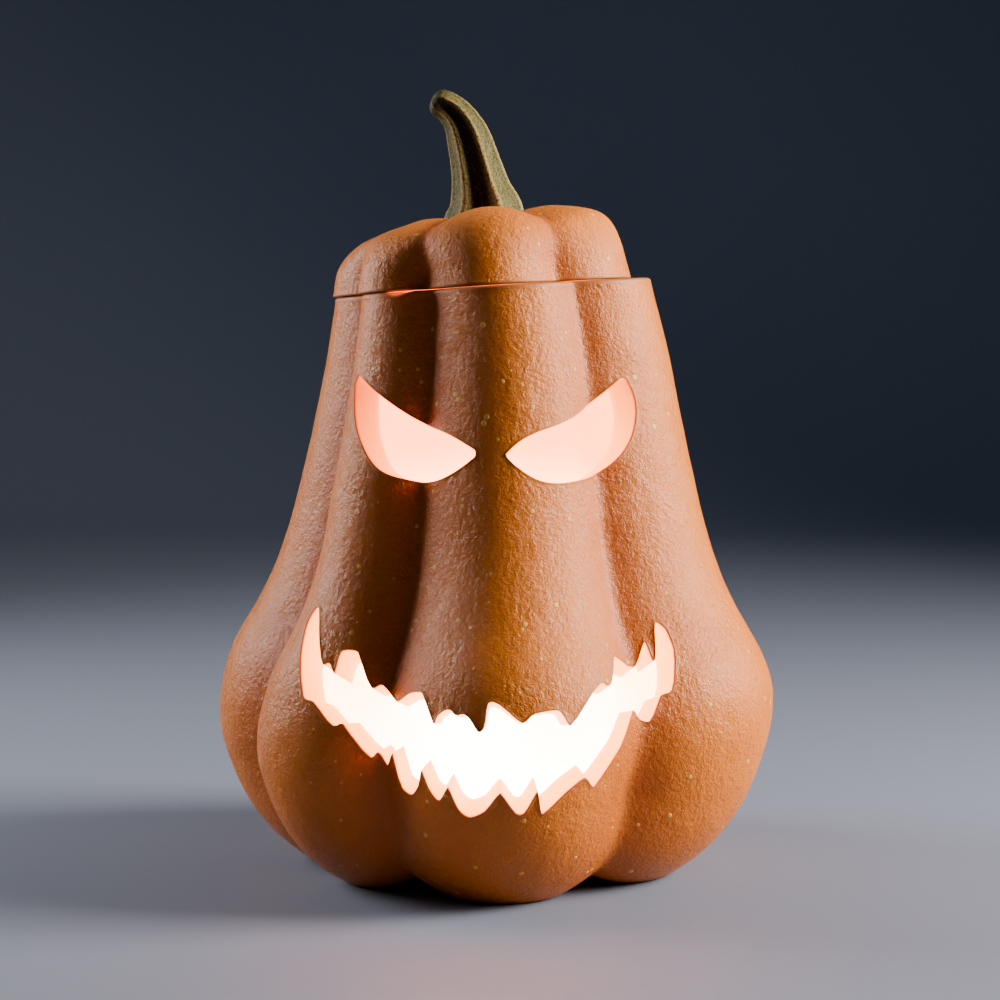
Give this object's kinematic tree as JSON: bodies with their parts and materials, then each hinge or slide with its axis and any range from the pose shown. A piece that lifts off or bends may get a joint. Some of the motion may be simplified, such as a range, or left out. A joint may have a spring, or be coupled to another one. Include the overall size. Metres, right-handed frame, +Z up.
{
  "type": "carved pumpkin lantern",
  "caption": "Hollow lobed pumpkin carved with slanted eyes and a jagged grin, with a loose cut lid that carries the curved stem",
  "frame": {"origin": "on the surface the pumpkin stands on, under the middle of its bounding box", "axes": "+Z up the height of the pumpkin, the carved face looks along -Y, +X to the right of someone looking at the face"},
  "size_m": [0.2502, 0.2536, 0.3498],
  "materials": {
    "rind": "waxy orange pumpkin rind with a fine wrinkled grain, pale flesh on the cut faces",
    "lid_rind": "waxy orange pumpkin rind with a fine wrinkled grain, pale flesh below",
    "stem_bark": "dry ridged olive green stem with tan ridges"
  },
  "bodies": {
    "root": {"shell": "rind", "lid": "lid_rind", "stem": "stem_bark"}
  },
  "joints": []
}
